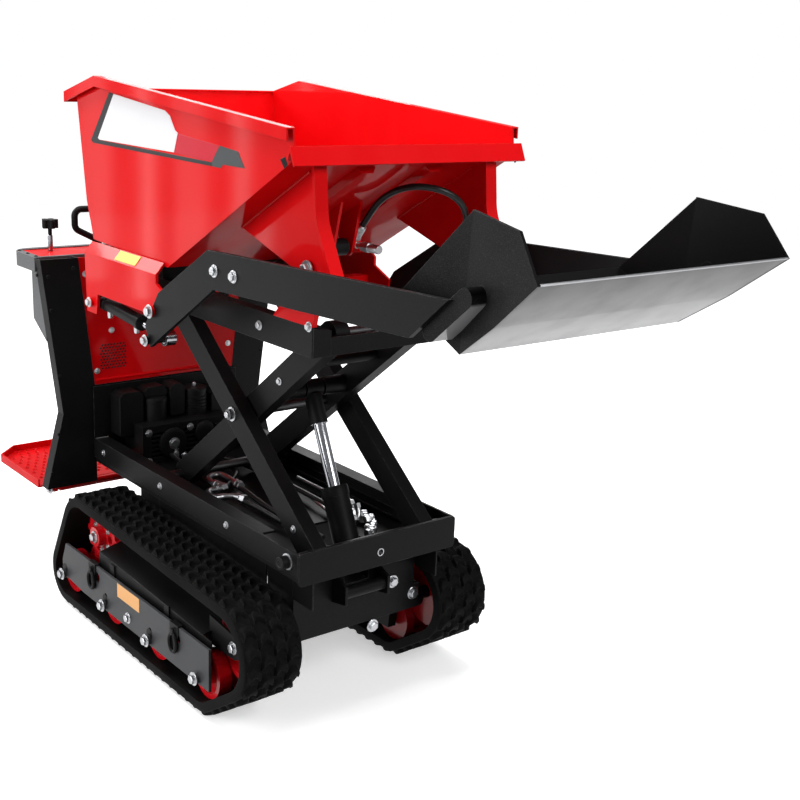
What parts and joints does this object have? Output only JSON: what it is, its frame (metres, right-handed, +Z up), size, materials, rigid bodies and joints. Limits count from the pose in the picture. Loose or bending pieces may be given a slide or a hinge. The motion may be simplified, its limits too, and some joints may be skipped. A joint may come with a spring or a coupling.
{
  "type": "tracked site dumper",
  "caption": "Mini dumper on two rubber tracks, with a scissor lift under its tipping skip, a self-loading shovel on two side arms, a control tower and a folding footboard.",
  "frame": {"origin": "on the ground under the middle of the machine's length and width, with the tracks standing on z = 0", "axes": "+X forwards to the shovel, +Y to the machine's left, +Z up"},
  "size_m": [2.4371, 0.806, 1.5752],
  "materials": {
    "red_paint": "gloss red enamel",
    "black_paint": "satin black powder coat",
    "wheel_red": "red enamel on cast wheels",
    "engine_black": "semi-gloss black",
    "grey_plastic": "textured dark grey coat",
    "bare_steel": "zinc plated steel",
    "chrome_rod": "hard chrome",
    "rubber": "moulded track rubber"
  },
  "bodies": {
    "chassis": {"track_right": "rubber", "track_left": "rubber", "road_rollers_right": "wheel_red", "road_rollers_left": "wheel_red", "idler_right": "wheel_red", "idler_left": "wheel_red", "sprocket_right": "wheel_red", "sprocket_left": "wheel_red", "track_frame_right": "black_paint", "track_frame_left": "black_paint", "side_plate_right": "black_paint", "side_plate_left": "black_paint", "frame_rail_right": "black_paint", "frame_rail_left": "black_paint", "tower_post_right": "black_paint", "tower_post_left": "black_paint", "front_plate": "black_paint", "deck_plate": "black_paint", "front_beam": "black_paint", "rear_beam": "black_paint", "front_shaft": "bare_steel", "engine": "engine_black", "tower_panel": "red_paint", "tower_crossbar": "black_paint", "console": "grey_plastic", "console_top": "grey_plastic", "console_panel": "red_paint", "handles": "black_paint", "foot_bracket": "red_paint"},
    "scissor_a": {"outer_arm_right": "black_paint", "outer_arm_left": "black_paint", "outer_shafts": "bare_steel"},
    "scissor_b": {"inner_arm_right": "black_paint", "inner_arm_left": "black_paint", "inner_tubes": "black_paint", "lower_roller_shaft": "bare_steel"},
    "platform": {"platform_rail_right": "black_paint", "platform_rail_left": "black_paint", "top_shaft": "bare_steel", "front_bar": "black_paint", "rear_bar": "black_paint", "tip_base": "black_paint", "hinge_upright_right": "red_paint", "hinge_upright_left": "red_paint", "cradle_right": "red_paint", "cradle_left": "red_paint"},
    "skip": {"skip_tub": "red_paint", "skip_hose": "rubber"},
    "loader": {"loader_arm_right": "black_paint", "loader_arm_left": "black_paint", "shovel": "black_paint"},
    "lift_barrel": {"lift_barrel": "black_paint"},
    "lift_rod": {"lift_rod": "chrome_rod"},
    "tip_barrel": {"tip_barrel": "black_paint"},
    "tip_rod": {"tip_rod": "chrome_rod"},
    "loader_right_barrel": {"loader_right_barrel": "black_paint"},
    "loader_right_rod": {"loader_right_rod": "chrome_rod"},
    "loader_left_barrel": {"loader_left_barrel": "black_paint"},
    "loader_left_rod": {"loader_left_rod": "chrome_rod"},
    "footboard": {"footboard": "red_paint"}
  },
  "joints": [
    {"name": "lift", "type": "hinge", "parent": "chassis", "child": "scissor_a", "pos_m": [0.328, 0, 0.46], "axis": [0, 1, 0], "range_deg": [-29.7, 0]},
    {"name": "cross", "type": "hinge", "parent": "scissor_a", "child": "scissor_b", "pos_m": [-0.02963, 0, 0.73641], "axis": [0, 1, 0], "range_deg": [-0.05, 59.5]},
    {"name": "platform_level", "type": "hinge", "parent": "scissor_b", "child": "platform", "pos_m": [0.328, 0, 1.01282], "axis": [0, 1, 0], "range_deg": [-29.75, 0.05]},
    {"name": "lift_barrel_pivot", "type": "hinge", "parent": "chassis", "child": "lift_barrel", "pos_m": [0.253, 0, 0.376], "axis": [0, 1, 0], "range_deg": [-33.92, 0]},
    {"name": "lift_rod_slide", "type": "slide", "parent": "lift_barrel", "child": "lift_rod", "axis": [-0.4216, 0, 0.9068], "range_m": [-0.15822, 0]},
    {"name": "tip", "type": "hinge", "parent": "platform", "child": "skip", "pos_m": [0.388, 0, 1.185], "axis": [0, 1, 0], "range_deg": [0, 75]},
    {"name": "tip_barrel_pivot", "type": "hinge", "parent": "platform", "child": "tip_barrel", "pos_m": [-0.322, 0, 1.0128], "axis": [0, -1, 0], "range_deg": [0, 10.96]},
    {"name": "tip_rod_slide", "type": "slide", "parent": "tip_barrel", "child": "tip_rod", "axis": [0.9381, 0, 0.3463], "range_m": [0, 0.25432]},
    {"name": "loader", "type": "hinge", "parent": "platform", "child": "loader", "pos_m": [-0.106, 0, 1.014], "axis": [0, -1, 0], "range_deg": [-36.5, 92]},
    {"name": "loader_right_pivot", "type": "hinge", "parent": "platform", "child": "loader_right_barrel", "pos_m": [-0.512, -0.32, 0.965], "axis": [0, -1, 0], "range_deg": [-1.49, 3.6]},
    {"name": "loader_right_slide", "type": "slide", "parent": "loader_right_barrel", "child": "loader_right_rod", "axis": [0.9967, 0, -0.0813], "range_m": [-0.04357, 0.10905]},
    {"name": "loader_left_pivot", "type": "hinge", "parent": "platform", "child": "loader_left_barrel", "pos_m": [-0.512, 0.32, 0.965], "axis": [0, -1, 0], "range_deg": [-1.49, 3.6]},
    {"name": "loader_left_slide", "type": "slide", "parent": "loader_left_barrel", "child": "loader_left_rod", "axis": [0.9967, 0, -0.0813], "range_m": [-0.04357, 0.10905]},
    {"name": "footboard", "type": "hinge", "parent": "chassis", "child": "footboard", "pos_m": [-0.826, 0, 0.322], "axis": [0, 1, 0], "range_deg": [0, 90]}
  ],
  "couplings": [
    {"joint": "cross", "follows": "lift", "ratio": -2},
    {"joint": "platform_level", "follows": "lift", "ratio": 1},
    {"joint": "lift_barrel_pivot", "follows": "lift", "ratio": 1.1386},
    {"joint": "lift_rod_slide", "follows": "lift", "m_per_rad": 0.30427},
    {"joint": "tip_barrel_pivot", "follows": "tip", "ratio": 0.1448},
    {"joint": "tip_rod_slide", "follows": "tip", "m_per_rad": 0.1939},
    {"joint": "loader_right_pivot", "follows": "loader", "ratio": 0.03808},
    {"joint": "loader_right_slide", "follows": "loader", "m_per_rad": 0.0676},
    {"joint": "loader_left_pivot", "follows": "loader", "ratio": 0.03808},
    {"joint": "loader_left_slide", "follows": "loader", "m_per_rad": 0.0676}
  ]
}
